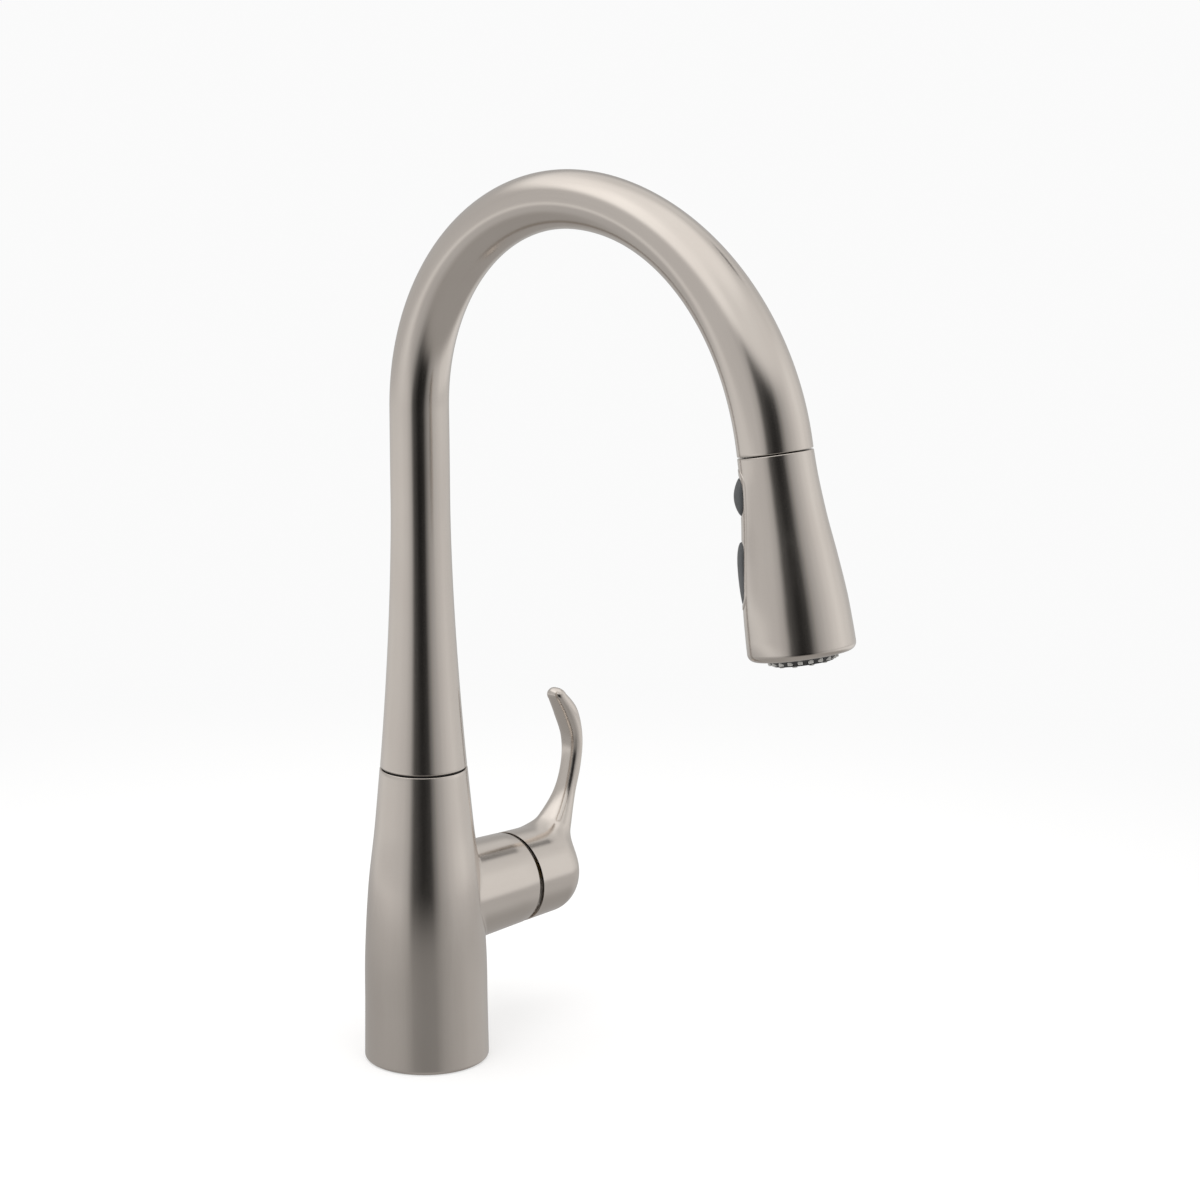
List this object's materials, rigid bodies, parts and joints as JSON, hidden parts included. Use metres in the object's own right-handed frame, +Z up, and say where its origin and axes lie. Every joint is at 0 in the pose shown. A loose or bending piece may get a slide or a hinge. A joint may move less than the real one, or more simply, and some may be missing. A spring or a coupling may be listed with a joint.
{
  "type": "pull-down kitchen faucet",
  "caption": "Single-lever kitchen faucet: flared round base, tall tapered gooseneck spout that swivels, pull-down spray head with push buttons, and a curved side lever.",
  "frame": {"origin": "centre of the base on the deck's top surface, on the axis that the spout swivels about", "axes": "+Z up along the swivel axis, -Y the way the spout reaches towards the user, +X the lever's side"},
  "size_m": [0.1318, 0.2793, 0.5264],
  "materials": {
    "brushed_nickel": "brushed, warm satin nickel",
    "brass": "machined brass",
    "steel": "machined steel",
    "black_rubber": "matt black rubber",
    "white_plastic": "matt white acetal",
    "dark_plastic": "matt black moulded plastic",
    "grey_button": "satin dark grey moulded plastic",
    "aerator_plastic": "matt grey moulded plastic",
    "ceramic": null,
    "hose_braid": "dark woven nylon braid over a rubber hose",
    "nozzle_rubber": "pale grey silicone rubber",
    "magnet_metal": "plated magnet and steel keeper"
  },
  "bodies": {
    "root": {"base_body": "brushed_nickel", "base_gasket": "black_rubber", "mounting_shank": "brass", "deck_washer": "black_rubber", "clamp_washer": "steel", "mounting_nut": "brass", "clamp_screw_1": "steel", "clamp_screw_2": "steel", "clamp_screw_3": "steel", "hot_inlet_tube": "white_plastic", "hot_coupling": "brass", "cold_inlet_tube": "white_plastic", "cold_coupling": "brass", "outlet_tube": "white_plastic", "outlet_coupling": "brass", "valve_body": "brass", "disc_seal": "black_rubber", "cartridge_housing": "white_plastic", "fixed_disc": "ceramic", "cartridge_nut": "brass", "bonnet_dome": "dark_plastic", "swivel_post": "brass", "lower_bearing_ring": "white_plastic", "post_o_ring_1": "black_rubber", "post_o_ring_2": "black_rubber", "retaining_clip": "steel", "hose_in_body": "hose_braid", "hose_coupling": "brass"},
    "cartridge": {"cartridge_rotor": "white_plastic", "pivot_pin": "steel"},
    "disc": {"moving_disc": "ceramic"},
    "lever": {"lever_handle": "brushed_nickel", "cartridge_spindle": "brass", "set_screw": "steel", "set_screw_plug": "brushed_nickel"},
    "spout": {"spout_tube": "brushed_nickel", "spout_bushing": "white_plastic", "upper_bearing_ring": "white_plastic", "seam_glide_ring": "dark_plastic", "docking_collar": "dark_plastic", "dock_magnet": "magnet_metal", "hose_in_spout": "hose_braid"},
    "hose_end": {"hose_connector": "brass", "connector_o_ring": "black_rubber", "hose_lead": "hose_braid"},
    "spray_head": {"head_shell": "brushed_nickel", "head_dock_ring": "dark_plastic", "head_magnet": "magnet_metal", "head_waterway": "dark_plastic", "check_valve": "white_plastic", "nozzle_mat": "nozzle_rubber", "spray_face": "dark_plastic", "aerator": "aerator_plastic", "button_pad": "brushed_nickel", "button_spring_upper": "steel", "button_spring_lower": "steel"},
    "diverter": {"diverter_valve": "white_plastic"},
    "upper_button": {"button_upper": "grey_button"},
    "lower_button": {"button_lower": "grey_button"}
  },
  "joints": [
    {"name": "spout_swivel", "type": "hinge", "parent": "root", "child": "spout", "pos_m": [0, 0, 0.142], "axis": [0, 0, 1], "continuous": true},
    {"name": "pull_down", "type": "slide", "parent": "spout", "child": "hose_end", "axis": [0, -0.1908, -0.9816], "range_m": [0, 0.2], "stiffness_N_per_m": 8, "springref_m": -0.5, "deforming": ["hose_lead"]},
    {"name": "spray_head_swivel", "type": "hinge", "parent": "hose_end", "child": "spray_head", "pos_m": [0, -0.21257, 0.31432], "axis": [0, -0.1908, -0.9816], "continuous": true},
    {"name": "upper_button_press", "type": "slide", "parent": "spray_head", "child": "upper_button", "axis": [0.6691, -0.7295, 0.1418], "range_m": [0, 0.0015], "stiffness_N_per_m": 300, "springref_m": -0.003, "deforming": ["button_spring_upper"]},
    {"name": "lower_button_press", "type": "slide", "parent": "spray_head", "child": "lower_button", "axis": [0.6691, -0.7295, 0.1418], "range_m": [0, 0.0015], "stiffness_N_per_m": 300, "springref_m": -0.003, "deforming": ["button_spring_lower"]},
    {"name": "diverter_slide", "type": "slide", "parent": "spray_head", "child": "diverter", "axis": [0, -0.1908, -0.9816], "range_m": [0, 0.0015]},
    {"name": "temperature", "type": "hinge", "parent": "root", "child": "cartridge", "pos_m": [0.042, 0, 0.075], "axis": [1, 0, 0], "range_deg": [-45, 45]},
    {"name": "flow", "type": "hinge", "parent": "cartridge", "child": "lever", "pos_m": [0.042, 0, 0.075], "axis": [0, 1, 0], "range_deg": [0, 20]},
    {"name": "disc_slide", "type": "slide", "parent": "cartridge", "child": "disc", "axis": [0, 0, 1], "range_m": [0, 0.0032]}
  ],
  "couplings": [
    {"joint": "disc_slide", "follows": "flow", "m_per_rad": 0.009},
    {"joint": "diverter_slide", "follows": "upper_button_press", "ratio": 1}
  ]
}
